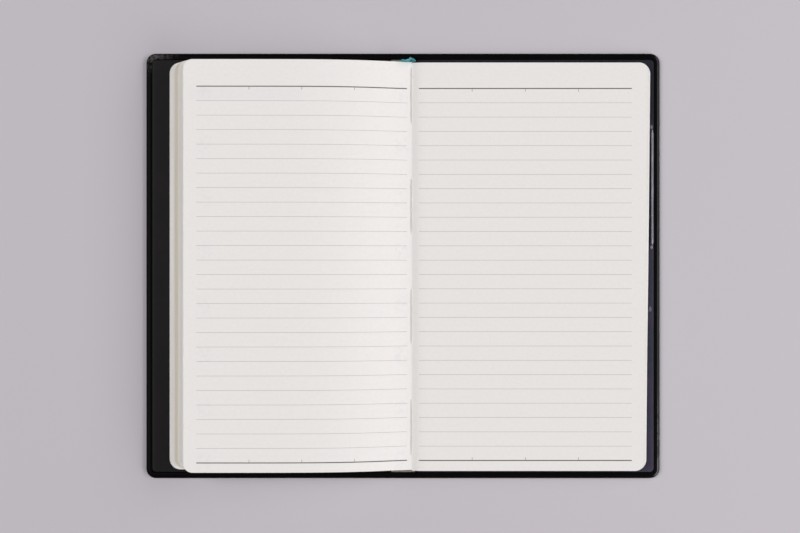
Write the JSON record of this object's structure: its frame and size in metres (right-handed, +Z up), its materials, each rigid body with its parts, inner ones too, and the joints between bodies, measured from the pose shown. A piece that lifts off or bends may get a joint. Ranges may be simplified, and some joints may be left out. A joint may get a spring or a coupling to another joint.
{
  "type": "pocket notebook",
  "caption": "Pocket notebook lying open near its end: a soft black cover, a sewn block of ruled cream pages and a ribbon marker. Covers fold up and leaves turn.",
  "frame": {"origin": "on the surface that the open cover lies on, under the middle of the spine and half-way from head to tail", "axes": "+X across the open spread from the front cover to the back cover, +Y to the head of the pages, +Z up out of the pages"},
  "size_m": [0.1816, 0.1502, 0.0089],
  "materials": {
    "leatherette": "fine-grained black leatherette, satin",
    "lining": "matte charcoal endpaper",
    "greyboard": "grey millboard",
    "paper": "uncoated warm white",
    "cloth": "open-weave bookbinding gauze with glue",
    "thread": "waxed linen thread",
    "ribbon": "teal satin"
  },
  "bodies": {
    "spine": {"spine_skin": "leatherette", "spine_stiffener": "greyboard", "spine_cloth": "cloth", "gutter_folds": "paper", "stitch_1": "thread", "stitch_2": "thread", "stitch_3": "thread", "stitch_4": "thread", "ribbon_root": "ribbon"},
    "left_block": {"front_flyleaf": "paper", "section_1": "paper", "section_2": "paper", "section_3": "paper", "section_4": "paper", "section_5": "paper", "section_6": "paper", "section_7_left": "paper", "ribbon_tail": "ribbon"},
    "left_leaf": {"left_leaf": "paper"},
    "front_cover": {"front_cover_skin": "leatherette", "front_board": "greyboard", "front_pastedown": "lining"},
    "right_block": {"section_7_right": "paper", "section_8": "paper", "back_flyleaf": "paper"},
    "right_leaf": {"right_leaf": "paper"},
    "back_cover": {"back_cover_skin": "leatherette", "back_board": "greyboard", "back_pastedown": "lining", "head_tack": "leatherette", "tail_tack": "leatherette"},
    "clip_band": {"clip_band": "leatherette"}
  },
  "joints": [
    {"name": "close_front", "type": "hinge", "parent": "spine", "child": "left_block", "pos_m": [-0.0022, 0, 0.0042], "axis": [0, 1, 0], "range_deg": [0, 90]},
    {"name": "fold_front_cover", "type": "hinge", "parent": "spine", "child": "front_cover", "pos_m": [-0.005, 0, 0.0015], "axis": [0, 1, 0], "range_deg": [0, 90]},
    {"name": "close_back", "type": "hinge", "parent": "spine", "child": "back_cover", "pos_m": [0.005, 0, 0.0015], "axis": [0, -1, 0], "range_deg": [0, 90]},
    {"name": "fold_right_block", "type": "hinge", "parent": "spine", "child": "right_block", "pos_m": [0.00495, 0, 0.00145], "axis": [0, -1, 0], "range_deg": [0, 90]},
    {"name": "turn_left_leaf", "type": "hinge", "parent": "left_block", "child": "left_leaf", "pos_m": [0.00315, 0, 0.00285], "axis": [0, -1, 0], "range_deg": [-160, 0]},
    {"name": "turn_right_leaf", "type": "hinge", "parent": "right_block", "child": "right_leaf", "pos_m": [0.00315, 0, 0.00285], "axis": [0, 1, 0], "range_deg": [-160, 0]},
    {"name": "rock_clip_band", "type": "hinge", "parent": "back_cover", "child": "clip_band", "pos_m": [0.0885, 0.0278, 0.00175], "axis": [0, 1, 0], "range_deg": [0, 90]}
  ],
  "couplings": [
    {"joint": "fold_front_cover", "follows": "close_front", "ratio": 1},
    {"joint": "fold_right_block", "follows": "close_back", "ratio": 1}
  ]
}
